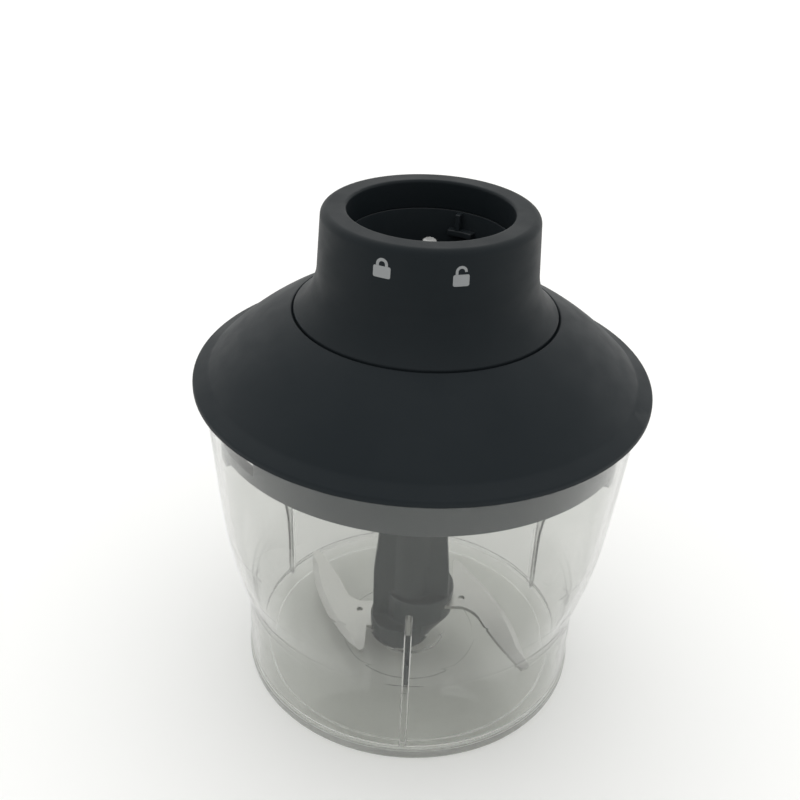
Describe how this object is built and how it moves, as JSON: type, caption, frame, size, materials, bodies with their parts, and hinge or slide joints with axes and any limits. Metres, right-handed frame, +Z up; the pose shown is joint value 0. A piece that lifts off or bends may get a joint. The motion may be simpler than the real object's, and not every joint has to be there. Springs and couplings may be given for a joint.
{
  "type": "hand blender chopper attachment",
  "caption": "Hand blender chopper attachment: clear tapered bowl, curved blades on a hub and a conical gear lid with a coupling collar.",
  "frame": {"origin": "centre of the bowl's foot, on the surface it stands on", "axes": "+Z up along the drive axis, -Y is the front, where the lock marks are"},
  "size_m": [0.125, 0.125, 0.1452],
  "materials": {
    "clear_bowl": "gloss",
    "steel": "satin",
    "hub_grey": "satin",
    "bronze": "satin",
    "blade_steel": "satin",
    "seal_rubber": "matte",
    "ring_grey": "satin",
    "lid_black": "satin",
    "collar_black": "satin",
    "gearbox_plastic": "satin",
    "gear_white": "satin",
    "gear_steel": "satin",
    "coupling_black": "satin",
    "lock_print": "satin"
  },
  "bodies": {
    "bowl": {"bowl": "clear_bowl", "bowl_pin": "steel"},
    "seal": {"lid_seal": "seal_rubber"},
    "lid": {"lid_base": "ring_grey", "lid_cover": "lid_black", "coupling_collar": "collar_black", "coupling_socket": "coupling_black", "gearbox_housing": "gearbox_plastic", "gearbox_cover": "gearbox_plastic", "output_bush": "bronze", "input_bush": "bronze", "shaft_seal": "seal_rubber", "thrust_washer": "gear_white", "lid_screws": "steel", "gearbox_screws": "steel", "ring_gear": "gear_steel"},
    "input": {"input_shaft": "steel", "drive_coupling": "coupling_black", "sun_gear": "gear_steel", "shaft_clip": "steel"},
    "carrier": {"planet_carrier": "gearbox_plastic", "output_spindle": "steel", "planet_pin_1": "steel", "planet_pin_2": "steel", "planet_pin_3": "steel"},
    "planet_1": {"planet_gear_1": "gear_white"},
    "planet_2": {"planet_gear_2": "gear_white"},
    "planet_3": {"planet_gear_3": "gear_white"},
    "blade": {"blade_hub": "hub_grey", "hub_bush": "bronze", "blade_lower": "blade_steel", "blade_upper": "blade_steel"}
  },
  "joints": [
    {"name": "lid_lift", "type": "slide", "parent": "bowl", "child": "seal", "axis": [0, 0, 1], "range_m": [0, 0.08]},
    {"name": "lid_twist", "type": "hinge", "parent": "seal", "child": "lid", "pos_m": [0, 0, 0.0974], "axis": [0, 0, 1], "range_deg": [-20, 0]},
    {"name": "input_spin", "type": "hinge", "parent": "lid", "child": "input", "pos_m": [0, 0, 0.11], "axis": [0, 0, 1], "continuous": true},
    {"name": "carrier_spin", "type": "hinge", "parent": "lid", "child": "carrier", "pos_m": [0, 0, 0.0872], "axis": [0, 0, 1], "continuous": true},
    {"name": "planet_spin_1", "type": "hinge", "parent": "carrier", "child": "planet_1", "pos_m": [0.015, 0, 0.0984], "axis": [0, 0, 1], "continuous": true},
    {"name": "planet_spin_2", "type": "hinge", "parent": "carrier", "child": "planet_2", "pos_m": [-0.0075, 0.01299, 0.0984], "axis": [0, 0, 1], "continuous": true},
    {"name": "planet_spin_3", "type": "hinge", "parent": "carrier", "child": "planet_3", "pos_m": [-0.0075, -0.01299, 0.0984], "axis": [0, 0, 1], "continuous": true},
    {"name": "blade_spin", "type": "hinge", "parent": "bowl", "child": "blade", "pos_m": [0, 0, 0.01], "axis": [0, 0, 1], "continuous": true}
  ],
  "couplings": [
    {"joint": "carrier_spin", "follows": "blade_spin", "ratio": 1},
    {"joint": "input_spin", "follows": "blade_spin", "ratio": 4},
    {"joint": "planet_spin_1", "follows": "blade_spin", "ratio": -3},
    {"joint": "planet_spin_2", "follows": "blade_spin", "ratio": -3},
    {"joint": "planet_spin_3", "follows": "blade_spin", "ratio": -3}
  ]
}
